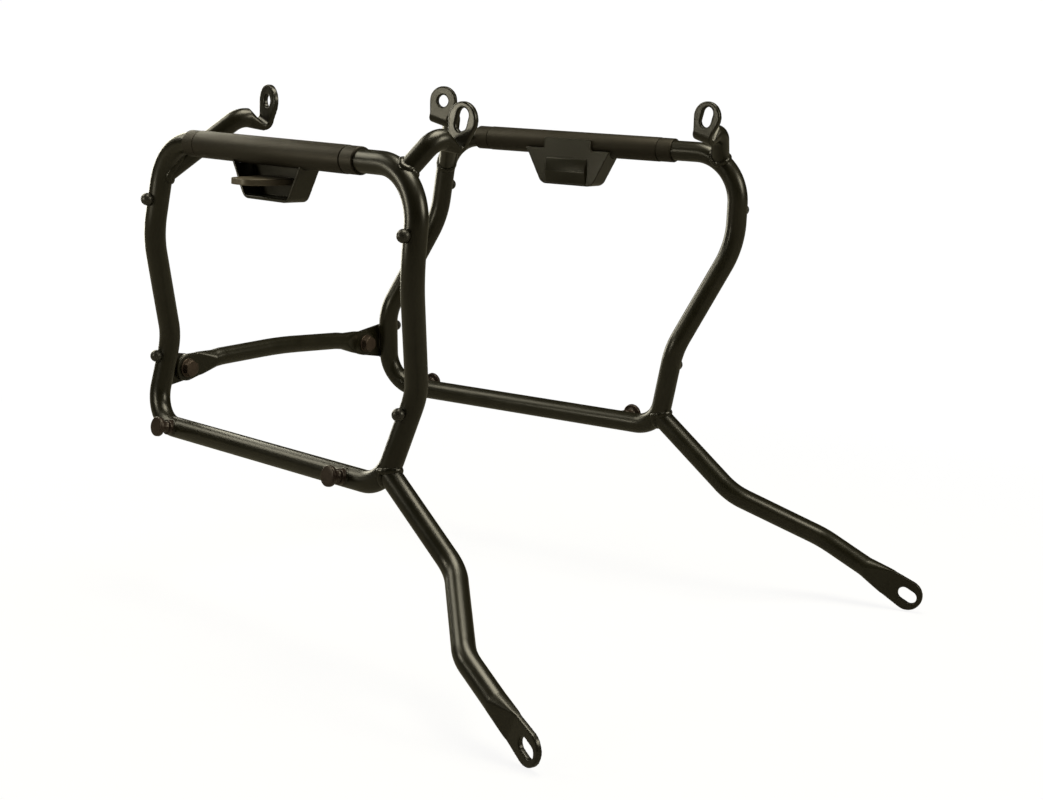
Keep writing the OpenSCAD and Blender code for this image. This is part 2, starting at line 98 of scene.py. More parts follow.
def makeRubGroup():  # where corners and raised edges are rubbed
    group = bpy.data.node_groups.new("edgeRub", "ShaderNodeTree")
    for name, value in (("Start", 0.55), ("End", 0.75), ("Break Scale", 220.0)):
        socket = group.interface.new_socket(name, in_out="INPUT", socket_type="NodeSocketFloat")
        socket.default_value = value
    group.interface.new_socket("Mask", in_out="OUTPUT", socket_type="NodeSocketFloat")
    n, link = group.nodes, group.links.new
    inside, outside = n.new("NodeGroupInput"), n.new("NodeGroupOutput")
    spot, shape = n.new("ShaderNodeTexCoord"), n.new("ShaderNodeNewGeometry")
    crumbs = n.new("ShaderNodeTexNoise")
    crumbs.inputs["Detail"].default_value = 6.0
    span, broken, both = n.new("ShaderNodeMapRange"), n.new("ShaderNodeMapRange"), n.new("ShaderNodeMath")
    both.operation = "MULTIPLY"
    broken.inputs["From Min"].default_value = 0.42
    broken.inputs["From Max"].default_value = 0.62
    link(inside.outputs["Start"], span.inputs["From Min"])
    link(inside.outputs["End"], span.inputs["From Max"])
    link(shape.outputs["Pointiness"], span.inputs["Value"])
    link(spot.outputs["Object"], crumbs.inputs["Vector"])
    link(inside.outputs["Break Scale"], crumbs.inputs["Scale"])
    link(crumbs.outputs["Fac"], broken.inputs["Value"])
    link(span.outputs["Result"], both.inputs[0])
    link(broken.outputs["Result"], both.inputs[1])
    link(both.outputs["Value"], outside.inputs["Mask"])
    return group


grainGroup, rubGroup = makeGrainGroup(), makeRubGroup()


def makeMaterial(name, look):
    material = bpy.data.materials.new(name)
    material.use_nodes = True
    n, link = material.node_tree.nodes, material.node_tree.links.new
    shader = n["Principled BSDF"]
    shader.inputs["Metallic"].default_value = look["metallic"]
    shader.inputs["Specular IOR Level"].default_value = look["specular"]
    shader.inputs["Specular Tint"].default_value = (*look["tint"], 1)
    grain, rub = n.new("ShaderNodeGroup"), n.new("ShaderNodeGroup")
    grain.node_tree, rub.node_tree = grainGroup, rubGroup
    grain.inputs["Fine Scale"].default_value = look["fineScale"]
    grain.inputs["Broad Scale"].default_value = look["broadScale"]
    grain.inputs["Broad Share"].default_value = look["broadShare"]
    rub.inputs["Start"].default_value, rub.inputs["End"].default_value = look["rub"]
    tone, worn = n.new("ShaderNodeMix"), n.new("ShaderNodeMix")
    for mixer in (tone, worn):
        mixer.data_type = "RGBA"
    tone.inputs[6].default_value = (*look["dark"], 1)
    tone.inputs[7].default_value = (*look["light"], 1)
    worn.inputs[7].default_value = (*look["worn"], 1)
    link(grain.outputs["Cloud"], tone.inputs["Factor"])
    link(rub.outputs["Mask"], worn.inputs["Factor"])
    link(tone.outputs[2], worn.inputs[6])
    link(worn.outputs[2], shader.inputs["Base Color"])
    gloss = n.new("ShaderNodeMapRange")
    gloss.inputs["To Min"].default_value, gloss.inputs["To Max"].default_value = look["roughness"]
    link(grain.outputs["Cloud"], gloss.inputs["Value"])
    link(gloss.outputs["Result"], shader.inputs["Roughness"])
    bump = n.new("ShaderNodeBump")
    bump.inputs["Strength"].default_value = look["bump"]
    bump.inputs["Distance"].default_value = look["depth"]
    link(grain.outputs["Height"], bump.inputs["Height"])
    link(bump.outputs["Normal"], shader.inputs["Normal"])
    return material


powderCoat = {
    "metallic": 0.0, "specular": 0.5, "fineScale": 1400.0, "broadScale": 45.0, "broadShare": 0.25,
    "dark": (0.005, 0.0044, 0.0014), "light": (0.0125, 0.0112, 0.005), "worn": (0.055, 0.048, 0.03),
    "rub": (0.58, 0.82), "roughness": (0.24, 0.38), "tint": (1.0, 0.97, 0.9), "bump": 0.12, "depth": 0.0004,
}
# The tongue's coat is a lighter, browner copy of the powder coat: painted light on the tongue's top face, which
# the sleeve otherwise shades.
tongueLookPaintedLight = {
    "metallic": 0.0, "specular": 0.5, "fineScale": 1400.0, "broadScale": 45.0, "broadShare": 0.25,
    "dark": (0.045, 0.037, 0.024), "light": (0.085, 0.07, 0.047), "worn": (0.13, 0.11, 0.08),
    "rub": (0.58, 0.82), "roughness": (0.34, 0.5), "tint": (1.0, 0.93, 0.82), "bump": 0.15, "depth": 0.0004,
}
sleevePlastic = {
    "metallic": 0.0, "specular": 0.34, "fineScale": 2200.0, "broadScale": 70.0, "broadShare": 0.2,
    "dark": (0.0072, 0.006, 0.0034), "light": (0.0135, 0.0112, 0.0068), "worn": (0.05, 0.043, 0.03),
    "rub": (0.62, 0.85), "roughness": (0.44, 0.6), "tint": (1.0, 0.9, 0.74), "bump": 0.25, "depth": 0.0003,
}
# The pins' reddish-brown base colour is a painted reflection: it stands for a reddish reflection on the
# black-coated pin heads.
pinCoat = {
    "metallic": 0.0, "specular": 0.5, "fineScale": 1400.0, "broadScale": 90.0, "broadShare": 0.3,
    "dark": (0.012, 0.0075, 0.0052), "light": (0.03, 0.019, 0.014), "worn": (0.07, 0.055, 0.04),
    "rub": (0.58, 0.8), "roughness": (0.28, 0.42), "tint": (1.0, 0.9, 0.8), "bump": 0.15, "depth": 0.0003,
}
bumperRubber = {
    "metallic": 0.0, "specular": 0.5, "fineScale": 1600.0, "broadScale": 90.0, "broadShare": 0.3,
    "dark": (0.014, 0.013, 0.0095), "light": (0.024, 0.022, 0.017), "worn": (0.05, 0.048, 0.04),
    "rub": (0.7, 0.9), "roughness": (0.3, 0.42), "tint": (1.0, 0.97, 0.9), "bump": 0.2, "depth": 0.0003,
}
fastenerSteel = {
    "metallic": 0.75, "specular": 0.5, "fineScale": 1800.0, "broadScale": 160.0, "broadShare": 0.4,
    "dark": (0.052, 0.036, 0.026), "light": (0.1, 0.074, 0.056), "worn": (0.22, 0.19, 0.16),
    "rub": (0.58, 0.75), "roughness": (0.35, 0.52), "tint": (1.0, 1.0, 1.0), "bump": 0.2, "depth": 0.0002,
}
coat = makeMaterial("powderCoat", powderCoat)
tongueLitCoatPaintedLight = makeMaterial("tongueLookPaintedLight", tongueLookPaintedLight)
pinBrownPaintedReflection = makeMaterial("pinCoat", pinCoat)
plastic = makeMaterial("sleevePlastic", sleevePlastic)
rubber = makeMaterial("bumperRubber", bumperRubber)
steel = makeMaterial("fastenerSteel", fastenerSteel)
print("materials made")


# building pieces
def showPiece(mesh, name, material, *replaced):
    mesh.materials.clear()
    mesh.materials.append(material)
    piece = bpy.data.objects.new(name, mesh)
    bpy.context.scene.collection.objects.link(piece)
    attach(piece, "root")
    if replaced:
        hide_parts(*replaced)
    return piece


def toMesh(bm, name, sharpAngle=None):
    bmesh.ops.recalc_face_normals(bm, faces=bm.faces)
    bmesh.ops.transform(bm, matrix=Matrix.Scale(0.001, 4) @ Matrix.Translation(-modelCentre), verts=bm.verts)
    mesh = bpy.data.meshes.new(name)
    bm.to_mesh(mesh)
    bm.free()
    mesh.polygons.foreach_set("use_smooth", [True] * len(mesh.polygons))
    if sharpAngle:
        mesh.set_sharp_from_angle(angle=math.radians(sharpAngle))
    return mesh


def bothSides(mesh, name, material, node=None):  # the right piece, and its mirror image on the left
    other = mesh.copy()
    other.transform(Matrix.Scale(-1, 4, (0, 1, 0)))
    other.flip_normals()
    label = name[0].upper() + name[1:]
    showPiece(mesh, "right" + label, material, *(["right_" + node] if node else []))
    showPiece(other, "left" + label, material, *(["left_" + node] if node else []))


def alongAxis(origin, direction):  # carries +Z onto a direction
    return Matrix.Translation(origin) @ direction.to_track_quat("Z", "Y").to_matrix().to_4x4()


def bendAt(a, b, c, bendRadius):  # start, centre, axis, angle and end of the bend at b
    u, w = (a - b).normalized(), (c - b).normalized()
    turn = math.pi - u.angle(w)
    run = bendRadius * math.tan(turn / 2)
    centre = b + (u + w).normalized() * bendRadius / math.cos(turn / 2)
    return {"start": b + u * run, "end": b + w * run, "centre": centre, "turn": turn,
            "axis": (-u).cross(w).normalized()}


def onBend(a, b, c, bendRadius, share):
    bend = bendAt(a, b, c, bendRadius)
    middle = bend["start"].lerp(bend["end"], share) - bend["centre"]
    return bend["centre"] + middle.normalized() * bendRadius


def ringEdges(result):
    return [e for e in result if isinstance(e, bmesh.types.BMEdge)]


def sweepBends(bm, edges, bends):  # runs and bends of a round bar, from the ring of edges
    for bend in bends:
        middle = sum((v.co for v in {v for e in edges for v in e.verts}), Vector()) / len(edges)
        moved = bmesh.ops.extrude_edge_only(bm, edges=edges)["geom"]
        bmesh.ops.translate(bm, vec=bend["start"] - middle,
                            verts=[v for v in moved if isinstance(v, bmesh.types.BMVert)])
        steps = max(4, round(math.degrees(bend["turn"]) / 2.5))
        turned = bmesh.ops.spin(bm, geom=ringEdges(moved), cent=bend["centre"], axis=bend["axis"],
                                angle=bend["turn"], steps=steps)
        edges = ringEdges(turned["geom_last"])
    return edges


def lathe(profile, origin, direction, name, segments=64, sharpAngle=None):  # profile: height, radius
    bm = bmesh.new()
    points = [bm.verts.new((radius, 0, height)) for height, radius in profile]
    edges = [bm.edges.new(pair) for pair in zip(points, points[1:])]
    bmesh.ops.spin(bm, geom=points + edges, cent=(0, 0, 0), axis=(0, 0, 1), angle=2 * math.pi,
                   steps=segments, use_merge=True)
    bmesh.ops.remove_doubles(bm, verts=bm.verts, dist=0.0005)
    bmesh.ops.transform(bm, matrix=alongAxis(origin, direction), verts=bm.verts)
    return toMesh(bm, name, sharpAngle)


def arc(height, radius, r, start, end, steps=5):  # profile points of a rounded edge, angles in degrees
    angles = [math.radians(start + (end - start) * i / steps) for i in range(steps + 1)]
    return [(height + r * math.sin(a), radius + r * math.cos(a)) for a in angles]


skins = {"tube": (0.6, 10), "sheet": (0.45, 5), "lug": (0.4, 4)}  # voxel in millimetres, rounds of smoothing


def softCopy(node, skin, name, folds=()):  # the CAD node with its edges rounded as a coat rounds them
    # folds: height, direction and radius of the straight edges that a press brake rounds, in metres
    voxel, rounds = skins[skin]
    level = 2e-4  # an edge this close to a fold's height belongs to it
    bm = bmesh.new()
    bm.from_mesh(nodes[node].data)
    bmesh.ops.remove_doubles(bm, verts=bm.verts, dist=1e-6)
    bmesh.ops.recalc_face_normals(bm, faces=bm.faces)
    if folds:
        bmesh.ops.dissolve_limit(bm, angle_limit=0.01, verts=bm.verts, edges=bm.edges)
    for height, direction, radius in folds:
        picked = [e for e in bm.edges if all(abs(v.co.z - height) < level for v in e.verts)
                  and abs((e.verts[1].co - e.verts[0].co).normalized().dot(direction)) > 0.99]
        bmesh.ops.bevel(bm, geom=picked, offset=radius, offset_type="OFFSET", segments=6, profile=0.5,
                        affect="EDGES", material=-1)
    mesh = bpy.data.meshes.new(name)
    bm.to_mesh(mesh)
    bm.free()
    draft = bpy.data.objects.new(name, mesh)
    bpy.context.scene.collection.objects.link(draft)
    remesh = draft.modifiers.new("remesh", "REMESH")
    remesh.mode = "VOXEL"
    remesh.voxel_size = voxel / 1000
    smooth = draft.modifiers.new("smooth", "SMOOTH")
    smooth.factor = 0.5
    smooth.iterations = rounds
    bpy.context.view_layer.update()
    solved = bpy.data.meshes.new_from_object(draft.evaluated_get(bpy.context.evaluated_depsgraph_get()))
    bpy.data.objects.remove(draft)
    solved.polygons.foreach_set("use_smooth", [True] * len(solved.polygons))
    return solved


welds = {"arm": (2.8, 1.9, 3.4), "lug": (2.0, 1.4, 3.0), "pin": (1.5, 1.0, 2.2)}  # half width, height, ripple


def weldBead(points, normals, weld, name, closed=True):
    # points and normals of the seam, in order; a row of overlapping scales as a torch leaves them
    wide, tall, ripple = welds[weld]
    bm = bmesh.new()
    count, around = len(points), 12
    rings, gone = [], 0.0
    for i, (point, normal) in enumerate(zip(points, normals)):
        ahead = points[(i + 1) % count] if closed or i < count - 1 else point
        behind = points[i - 1] if closed or i > 0 else point
        run = (ahead - behind).normalized()
        side = run.cross(normal).normalized()
        gone += (point - points[i - 1]).length if i else 0
        scale = 1.0 + 0.16 * (0.5 - (gone / ripple) % 1.0)
        if not closed:
            scale *= min(1.0, 0.35 + 0.65 * min(i, count - 1 - i) / 3)
        ring = []
        for k in range(around):
            a = 2 * math.pi * k / around
            rise = side * math.cos(a) * wide + normal * math.sin(a) * tall
            ring.append(bm.verts.new(point + rise * scale))
        rings.append(ring)
    last = count if closed else count - 1
    for i in range(last):
        a, b = rings[i], rings[(i + 1) % count]
        for k in range(around):
            bm.faces.new((a[k], b[k], b[(k + 1) % around], a[(k + 1) % around]))
    if not closed:
        bm.faces.new(rings[0])
        bm.faces.new(rings[-1])
    return toMesh(bm, name)


def seamRing(origin, direction, radius, line, lineRadius, reach=40.0, count=96):
    # where a round bar that leaves origin along direction meets the tube round a line
    stride, halvings = 0.5, 12  # the search walks inwards in strides, then halves the last one
    frameIn = alongAxis(origin, direction).to_3x3()
    direction = direction.normalized()
    points, normals = [], []
    for i in range(count):
        a = 2 * math.pi * i / count
        rim = frameIn @ Vector((math.cos(a), math.sin(a), 0))
        gap = lambda t: np.linalg.norm(line - np.array(origin + rim * radius + direction * t), axis=1).min()
        near = reach
        while near > 0 and gap(near) > lineRadius:
            near -= stride
        far = near + stride
        for _ in range(halvings):
            middle = (near + far) / 2
            near, far = (near, middle) if gap(middle) > lineRadius else (middle, far)
        point = origin + rim * radius + direction * far
        foot = Vector(line[np.linalg.norm(line - np.array(point), axis=1).argmin()])
        points.append(point)
        normals.append((rim + (point - foot).normalized()).normalized())
    return points, normals


# hoop
hoop = {
    "radius": 9.0, "around": 64,
    "corners": [
        sidePoint(261, -21.5, -249), sidePoint(283, -35, -174), sidePoint(314, 4, -80), sidePoint(317, 0, 0),
        sidePoint(0, 0, 0), sidePoint(-14, 4, -80), sidePoint(-41, -35, -174), sidePoint(-49, -21.5, -249),
    ],
    "bends": [30.0, 45.0, 80.0, 42.0, 42.0, 80.0, 45.0, 30.0],
}


def makeHoop():
    corners = hoop["corners"]
    count = len(corners)
    bends = [bendAt(corners[i - 1], corners[i], corners[(i + 1) % count], hoop["bends"][i])
             for i in range(count)]
    start = corners[-1].lerp(corners[0], 0.5)
    bm = bmesh.new()
    first = bmesh.ops.create_circle(bm, segments=hoop["around"], radius=hoop["radius"],
                                    matrix=alongAxis(start, corners[0] - corners[-1]))["verts"]
    firstEdges = list({e for v in first for e in v.link_edges})
    lastEdges = sweepBends(bm, firstEdges, bends)
    bmesh.ops.bridge_loops(bm, edges=firstEdges + lastEdges)
    bothSides(toMesh(bm, "hoop"), "hoop", coat, "hoop")
    line = []
    for i, bend in enumerate(bends):
        previous = bends[i - 1]["end"]
        steps = max(2, int((bend["start"] - previous).length))
        line += [previous.lerp(bend["start"], k / steps) for k in range(steps)]
        steps = max(2, int(bend["turn"] * hoop["bends"][i]))
        for k in range(steps):
            spin = Matrix.Rotation(bend["turn"] * k / steps, 3, bend["axis"])
            line.append(bend["centre"] + spin @ (bend["start"] - bend["centre"]))
    return np.array([tuple(p) for p in line])


hoopLine = makeHoop()
print("hoops made")


# arms
upperArm = {
    "radius": 8.0, "bend": 16.0, "kneeShare": 0.55, "fold": 5.75, "taper": 12.0, "neck": 15.0, "flush": 5.75,
    "lean": 16.0,
    "rearEye": sidePoint(51, -72, 35), "rearTurn": 15.0, "rearRoot": 0.1,
    "frontEye": sidePoint(313, -48, 33), "frontTurn": 0.0, "frontRoot": 0.6,
}
lowerArm = {"radius": 9.0, "firstBend": sidePoint(342, -24, -298), "rootShare": 0.7}


def armKnee(eye, turn):  # where an upper arm bends towards its eye
    turn, lean = math.radians(turn), math.radians(upperArm["lean"])
    wide = Vector((math.cos(turn), -math.sin(turn), 0))
    inboard = Vector((math.sin(turn), math.cos(turn), 0))
    rise = up * math.cos(lean) + wide * math.sin(lean)
    roundEnd = (eye - inboard * (upperArm["fold"] + upperArm["taper"])
                + rise * (upperArm["flush"] - upperArm["neck"] - upperArm["fold"]))
    return roundEnd - inboard * upperArm["kneeShare"] * upperArm["bend"]


def makeArms():
    corners, bends, a = hoop["corners"], hoop["bends"], upperArm
    rootOn = lambda i, j, k, share: onBend(corners[i], corners[j], corners[k], bends[j], share)
    roots = {
        "rear_arm": (rootOn(5, 4, 3, a["rearRoot"]), armKnee(a["rearEye"], a["rearTurn"]), a["radius"]),
        "front_arm": (rootOn(2, 3, 4, a["frontRoot"]), armKnee(a["frontEye"], a["frontTurn"]), a["radius"]),
        "lower_arm": (rootOn(7, 0, 1, lowerArm["rootShare"]), lowerArm["firstBend"], lowerArm["radius"]),
    }
    for node, (root, knee, radius) in roots.items():
        words = node.split("_")
        name = words[0] + words[1].capitalize()
        bothSides(softCopy("right_" + node, "tube", name), name, coat, node)
        points, normals = seamRing(root, (knee - root).normalized(), radius, hoopLine, hoop["radius"])
        bothSides(weldBead(points, normals, "arm", name + "Weld"), name + "Weld", coat)


makeArms()
print("arms made")


# crossbar and lugs
lug = {"behind": 7.0, "half": 17.0, "height": -205.0, "beadSteps": 32, "beadNormal": (0.45, 0.89, 0)}


def rearTubeAt(height):  # the axis of the hoop's lower rear tube
    waist, bottom = hoop["corners"][6], hoop["corners"][7]
    return waist.lerp(bottom, (height - waist.z) / (bottom.z - waist.z))


def makeCrossbar():
    showPiece(softCopy("crossbar", "tube", "crossbar"), "crossbar", coat, "crossbar")
    bothSides(softCopy("right_crossbar_lug", "lug", "crossbarLug"), "crossbarLug", coat, "crossbar_lug")
    seat = Vector((-lug["behind"], math.sqrt(hoop["radius"] ** 2 - lug["behind"] ** 2), 0))
    steps = lug["beadSteps"]
    heights = [lug["height"] + lug["half"] * (1 - 2 * i / steps) for i in range(steps + 1)]
    normals = [Vector(lug["beadNormal"]).normalized()] * len(heights)
    points = [rearTubeAt(height) + seat for height in heights]
    bothSides(weldBead(points, normals, "lug", "lugWeld", closed=False), "lugWeld", coat)


makeCrossbar()
print("crossbar made")


# sleeve, bracket and tongue
sleeve = {
    "start": 36.3, "length": 216.0, "bore": 9.05, "body": 11.0, "collar": 10.75, "collarLength": 15.0,
    "groove": 10.1, "grooveWidth": 0.9, "rim": 0.9, "lip": 0.3, "shoulder": 0.5,
}


def makeSleeve():
    s = sleeve
    half, collar, rim, lip, shoulder = s["length"] / 2, s["collar"], s["rim"], s["lip"], s["shoulder"]
    inner = half - s["collarLength"]
    outer = inner + s["grooveWidth"]
    end = [(half, s["bore"])] + arc(half - rim, collar - rim, rim, 90, 0)
    end += [(outer + lip, collar), (outer, collar - lip), (outer, s["groove"]), (inner, s["groove"])]
    end += [(inner, s["body"] - shoulder)] + arc(inner - shoulder, s["body"] - shoulder, shoulder, 90, 0, 3)
    profile = end + [(-z, r) for z, r in reversed(end)]
    profile.append(profile[0])
    middle = sidePoint(0, 0, 0) + along * (s["start"] + half)
    bothSides(lathe(profile, middle, along, "sleeve", 96, 35), "sleeve", plastic, "sleeve")


makeSleeve()
bracket = {
    "floor": -38.0, "sheet": 2.5, "outerFold": 5.0, "innerFold": 2.5,
    "back": -12.9, "panelHalf": 22.0, "edge": 0.7,
    # the creased panel's section: distance outboard of the back, height
    "panel": ((0.5, -13.0), (-1.28, -13.5), (-3.2, -25.5), (-1.6, -36.3), (0.5, -36.0)),
}


def makeBracket():
    b = bracket
    low = (b["floor"] - modelCentre.z) / 1000
    folds = ((low, outward, b["outerFold"] / 1000), (low + b["sheet"] / 1000, outward, b["innerFold"] / 1000))
    folded = softCopy("right_latch_bracket", "sheet", "latchBracket", folds)
    bothSides(folded, "latchBracket", coat, "latch_bracket")
    middle = sidePoint(0, 0, 0) + along * (sleeve["start"] + sleeve["length"] / 2)
    rear = middle - along * b["panelHalf"]
    bm = bmesh.new()
    ring = [bm.verts.new(rear + outward * (b["back"] + out) + up * height) for out, height in b["panel"]]
    face = bm.faces.new(ring)
    grown = bmesh.ops.extrude_face_region(bm, geom=[face])["geom"]
    bmesh.ops.translate(bm, vec=along * 2 * b["panelHalf"],
                        verts=[v for v in grown if isinstance(v, bmesh.types.BMVert)])
    bmesh.ops.recalc_face_normals(bm, faces=bm.faces)
    bmesh.ops.bevel(bm, geom=bm.edges[:], offset=b["edge"], offset_type="OFFSET", segments=3, profile=0.5,
                    affect="EDGES", material=-1)
    bothSides(toMesh(bm, "latchPanel", 40), "latchPanel", coat)


makeBracket()
# the tongue gets the lighter coat, which is painted light on its top face
bothSides(softCopy("right_latch_tongue", "sheet", "latchTongue"), "latchTongue", tongueLitCoatPaintedLight, "latch_tongue")
print("sleeve, bracket and tongue made")


# pins and bumpers
pinShape = {
    "rear": 38.0, "front": 40.0, "tilt": 10.0, "out": 24.0, "root": 5.0,
    "head": 8.5, "headThick": 4.0, "neck": 4.5, "foot": 6.5, "footThick": 4.0,
    "footRim": 0.8, "fillet": 0.25, "neckTop": 0.5, "backRim": 0.9, "faceRim": 1.4,
}
bumper = {"ball": 5.25, "out": 11.5, "stem": 4.0, "root": 5.0, "seat": 9.8, "upper": 49.0, "lower": 190.0}


def makePins():
    p, tube = pinShape, hoop["radius"]
    rear, front = hoop["corners"][7], hoop["corners"][0]
    tilt = math.radians(p["tilt"])
    axis = outward * math.cos(tilt) + up * math.sin(tilt)
    under, step, neck, head = p["out"] - p["headThick"], tube + p["footThick"], p["neck"], p["head"]
    footRim, fillet, neckTop, backRim, faceRim = (
        p[part] for part in ("footRim", "fillet", "neckTop", "backRim", "faceRim"))
    profile = [(p["root"], 0.0), (p["root"], p["foot"])]
    profile += arc(step - footRim, p["foot"] - footRim, footRim, 0, 90)
    profile += [(step, neck + footRim), (step + fillet, neck + fillet), (step + footRim, neck)]
    profile += [(under - neckTop, neck), (under, neck + neckTop)]
    profile += arc(under + backRim, head - backRim, backRim, -90, 0)
    profile += arc(p["out"] - faceRim, head - faceRim, faceRim, 0, 78, 7)
    profile += [(p["out"] + 0.1, head * 0.5), (p["out"] + 0.15, 0.0)]  # the face is slightly crowned
    for node, foot in (("rear_pin", rear + along * p["rear"]), ("front_pin", front - along * p["front"])):
        name = node.split("_")[0] + "Pin"
        # the pins' brown base colour is a painted reflection
        bothSides(lathe(profile, foot, axis, name, 64), name, pinBrownPaintedReflection, node)
        points, normals = seamRing(foot, axis, p["foot"], hoopLine, tube, 20.0, 72)
        bothSides(weldBead(points, normals, "pin", name + "Weld"), name + "Weld", coat)


def makeBumpers():
    b, corners = bumper, hoop["corners"]
    flat = math.degrees(math.asin((b["seat"] - b["out"]) / b["ball"]))
    profile = [(b["root"], 0.0), (b["root"], b["stem"]), (b["seat"], b["stem"])]
    profile += arc(b["out"], 0.0, b["ball"], flat, 90, 16)
    runs = {
        "upper_rear_bumper": (corners[4], corners[5], b["upper"]),
        "upper_front_bumper": (corners[3], corners[2], b["upper"]),
        "lower_rear_bumper": (corners[6], corners[7], b["lower"]),
        "lower_front_bumper": (corners[1], corners[0], b["lower"]),
    }
    for node, (top, low, drop) in runs.items():
        words = node.split("_")
        name = words[0] + words[1].capitalize() + "Bumper"
        foot = top.lerp(low, (drop + top.z) / (top.z - low.z))
        bothSides(lathe(profile, foot, outward, name, 48), name, rubber, node)


makePins()
makeBumpers()
print("pins and bumpers made")


# crossbar bolts
bolt = {
    "inward": 29.5, "plate": 4.5, "lug": 3.0,
    "across": 13.0, "head": 5.3, "nut": 6.5, "chamfer": 30.0, "cones": (1.155, 1.09, 1.03, 0.96),
    "washer": 8.5, "washerThick": 1.6, "washerBore": 4.25, "washerRim": 0.5,
    "shank": 4.0, "plainShank": 3.9, "pitch": 1.25, "threadDepth": 0.65, "tail": 3.0, "tip": 3.0, "tipRim": 3.3,
    "sharpAngle": 25.0,
}


def hexRing(bm, corner, height, flatHalf):  # ring of a hexagon that a cone of the given radius rounds
    ring = []
    for i in range(96):
        a = math.radians(i * 3.75)
        turned = (a + math.pi / 6) % (math.pi / 3) - math.pi / 6
        radius = min(flatHalf / math.cos(turned), corner)
        ring.append(bm.verts.new((radius * math.cos(a), radius * math.sin(a), height)))
    return ring


def hexBody(thick, bothEnds):  # a hexagon with its corners turned off at the top, or at both ends
    flatHalf = bolt["across"] / 2
    fall = math.tan(math.radians(bolt["chamfer"]))
    bm = bmesh.new()
    cones = [(flatHalf * share, flatHalf * (share - bolt["cones"][-1]) * fall) for share in bolt["cones"]]
    if bothEnds:
        rings = [hexRing(bm, radius, drop, flatHalf) for radius, drop in reversed(cones)]
    else:
        rings = [hexRing(bm, cones[0][0], 0.0, flatHalf)]
    rings += [hexRing(bm, radius, thick - drop, flatHalf) for radius, drop in cones]
    for a, b in zip(rings, rings[1:]):
        for k in range(96):
            bm.faces.new((a[k], a[(k + 1) % 96], b[(k + 1) % 96], b[k]))
    bmesh.ops.contextual_create(bm, geom=rings[0])
    bmesh.ops.contextual_create(bm, geom=rings[-1])
    bmesh.ops.remove_doubles(bm, verts=bm.verts, dist=0.0005)
    return bm


def makeBolts():
    b = bolt
    tube = rearTubeAt(lug["height"])
    centre = Vector((tube.x - lug["behind"] + b["plate"], tube.y + b["inward"], lug["height"]))
    forward = Vector((1, 0, 0))
    place = alongAxis(centre, forward)
    rim, thick, bore = b["washerRim"], b["washerThick"], b["washerBore"]
    washer = [(0.0, bore), (0.0, b["washer"] - 0.3), (0.3, b["washer"])]
    washer += arc(thick - rim, b["washer"] - rim, rim, 0, 90, 4) + [(thick, bore), (0.0, bore)]
    turned = lathe(washer, centre, forward, "crossbarWasher", 64, 40)
    bothSides(turned, "crossbarWasher", steel, "crossbar_washer")
    head = hexBody(b["head"], False)
    bmesh.ops.transform(head, matrix=place @ Matrix.Translation((0, 0, thick)), verts=head.verts)
    nutBack = -b["plate"] - b["lug"] - b["nut"]
    back, z = nutBack - b["tail"], nutBack + 1  # the thread starts inside the nut and ends at the tail
    shank = [(thick + 1, 0.0), (thick + 1, b["plainShank"]), (z, b["plainShank"])]
    while z - b["pitch"] > back + 0.4:
        shank += [(z - b["pitch"] / 2, b["shank"] - b["threadDepth"]), (z - b["pitch"], b["shank"])]
        z -= b["pitch"]
    shank += [(back + 0.2, b["tipRim"]), (back, b["tip"]), (back, 0.0)]
    both = bmesh.new()
    both.from_mesh(toMesh(head, "head"))
    both.from_mesh(lathe(shank, centre, forward, "shank", 48))
    bolted = bpy.data.meshes.new("crossbarBolt")
    both.to_mesh(bolted)
    both.free()
    bolted.polygons.foreach_set("use_smooth", [True] * len(bolted.polygons))
    bolted.set_sharp_from_angle(angle=math.radians(b["sharpAngle"]))
    bothSides(bolted, "crossbarBolt", steel, "crossbar_bolt")
    nut = hexBody(b["nut"], True)
    bmesh.ops.transform(nut, matrix=place @ Matrix.Translation((0, 0, nutBack)), verts=nut.verts)
    bothSides(toMesh(nut, "crossbarNut", b["sharpAngle"]), "crossbarNut", steel, "crossbar_nut")


makeBolts()
print("bolts made")


# floor and light
studio = {
    "floorHeight": -0.2215, "floorSize": 8.0, "floorColour": (0.85, 0.85, 0.85), "seenWhite": 1.01,
    "shadowShare": 0.12, "fade": (0.45, 1.1),  # share of the real floor near the object, metres where it goes
    "glossyFloor": 0.25, "glossyColour": (1.0, 0.9, 0.6),
    "worldLight": 0.02, "worldColour": (1.0, 0.95, 0.82),
}


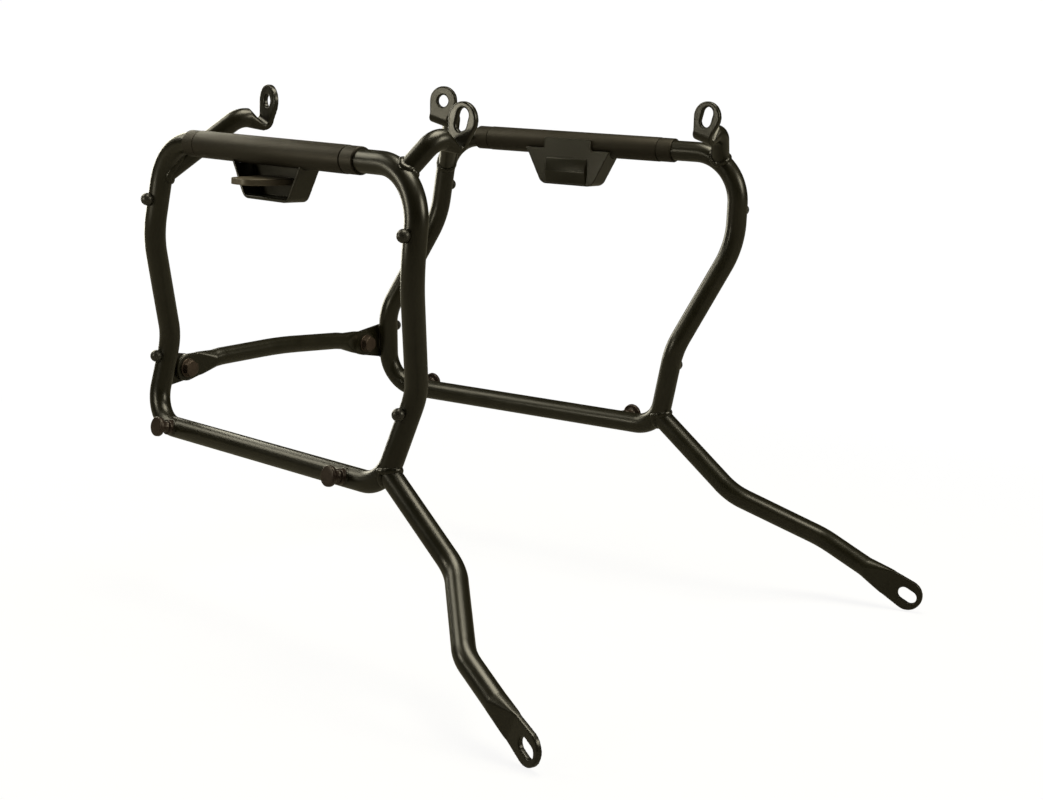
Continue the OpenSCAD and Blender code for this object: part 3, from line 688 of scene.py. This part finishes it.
def makeFloor():
    bm = bmesh.new()
    bmesh.ops.create_grid(bm, x_segments=2, y_segments=2, size=studio["floorSize"],
                          matrix=Matrix.Translation((0, 0, studio["floorHeight"])))
    mesh = bpy.data.meshes.new("floor")
    bm.to_mesh(mesh)
    bm.free()
    material = bpy.data.materials.new("floorPaper")
    material.use_nodes = True
    n, link = material.node_tree.nodes, material.node_tree.links.new
    n.remove(n["Principled BSDF"])
    matt, glow, dim = n.new("ShaderNodeBsdfDiffuse"), n.new("ShaderNodeEmission"), n.new("ShaderNodeEmission")
    seen, mirrored = n.new("ShaderNodeMixShader"), n.new("ShaderNodeMixShader")
    rays = n.new("ShaderNodeLightPath")
    share, spot, reach = n.new("ShaderNodeMath"), n.new("ShaderNodeTexCoord"), n.new("ShaderNodeVectorMath")
    fade = n.new("ShaderNodeMapRange")
    share.operation = "MULTIPLY"
    reach.operation = "LENGTH"
    fade.inputs["From Min"].default_value, fade.inputs["From Max"].default_value = studio["fade"]
    fade.inputs["To Min"].default_value = 1 - studio["shadowShare"]
    link(spot.outputs["Object"], reach.inputs[0])
    link(reach.outputs["Value"], fade.inputs["Value"])
    link(fade.outputs["Result"], share.inputs[1])
    matt.inputs["Color"].default_value = (*studio["floorColour"], 1)
    glow.inputs["Color"].default_value = (1, 1, 1, 1)
    glow.inputs["Strength"].default_value = studio["seenWhite"]
    dim.inputs["Color"].default_value = (*studio["glossyColour"], 1)
    dim.inputs["Strength"].default_value = studio["glossyFloor"]
    link(rays.outputs["Is Camera Ray"], share.inputs[0])
    link(share.outputs["Value"], seen.inputs["Fac"])
    link(matt.outputs["BSDF"], seen.inputs[1])
    link(glow.outputs["Emission"], seen.inputs[2])
    link(rays.outputs["Is Glossy Ray"], mirrored.inputs["Fac"])
    link(seen.outputs["Shader"], mirrored.inputs[1])
    link(dim.outputs["Emission"], mirrored.inputs[2])
    link(mirrored.outputs["Shader"], n["Material Output"].inputs["Surface"])
    mesh.materials.append(material)
    floor = bpy.data.objects.new("floor", mesh)
    bpy.context.scene.collection.objects.link(floor)


def makeWorld():
    world = bpy.data.worlds.new("studioWorld")
    bpy.context.scene.world = world
    world.use_nodes = True
    n, link = world.node_tree.nodes, world.node_tree.links.new
    background = n["Background"]
    rays, strength, colour = n.new("ShaderNodeLightPath"), n.new("ShaderNodeMix"), n.new("ShaderNodeMix")
    colour.data_type = "RGBA"
    colour.inputs[6].default_value = (*studio["worldColour"], 1)
    colour.inputs[7].default_value = (1, 1, 1, 1)
    strength.inputs[2].default_value = studio["worldLight"]
    strength.inputs[3].default_value = studio["seenWhite"]
    link(rays.outputs["Is Camera Ray"], strength.inputs[0])
    link(rays.outputs["Is Camera Ray"], colour.inputs[0])
    link(colour.outputs[2], background.inputs["Color"])
    link(strength.outputs[0], background.inputs["Strength"])


warm = (1.0, 0.955, 0.77)
lamps = {  # place, target, size, power
    "topLight": ((0.15, 0.1, 1.5), (0, 0, 0), (0.9, 0.9), 25),
    "backLeftLight": ((-1.15, -0.45, 1.0), (0, 0, 0), (0.7, 0.7), 7),
    "frontRightLight": ((1.5, 0.5, 0.8), (0, 0, 0), (0.6, 0.6), 12),
    "leftRimLight": ((-1.3, 0.35, 0.3), (0, 0, 0), (0.5, 0.9), 8),
    "lowLeftLight": ((-0.37, -0.69, 0.2), (0.1, -0.16, 0.2), (0.16, 0.16), 1.15),
}


def makeLamp(name, place, target, size, power):
    light = bpy.data.lights.new(name, "AREA")
    light.shape = "RECTANGLE"
    light.size, light.size_y = size
    light.energy = power
    light.color = warm
    lamp = bpy.data.objects.new(name, light)
    bpy.context.scene.collection.objects.link(lamp)
    lamp.matrix_world = alongAxis(Vector(place), Vector(place) - Vector(target))


makeFloor()
makeWorld()
for name, (place, target, size, power) in lamps.items():
    makeLamp(name, place, target, size, power)
print("floor and light made")
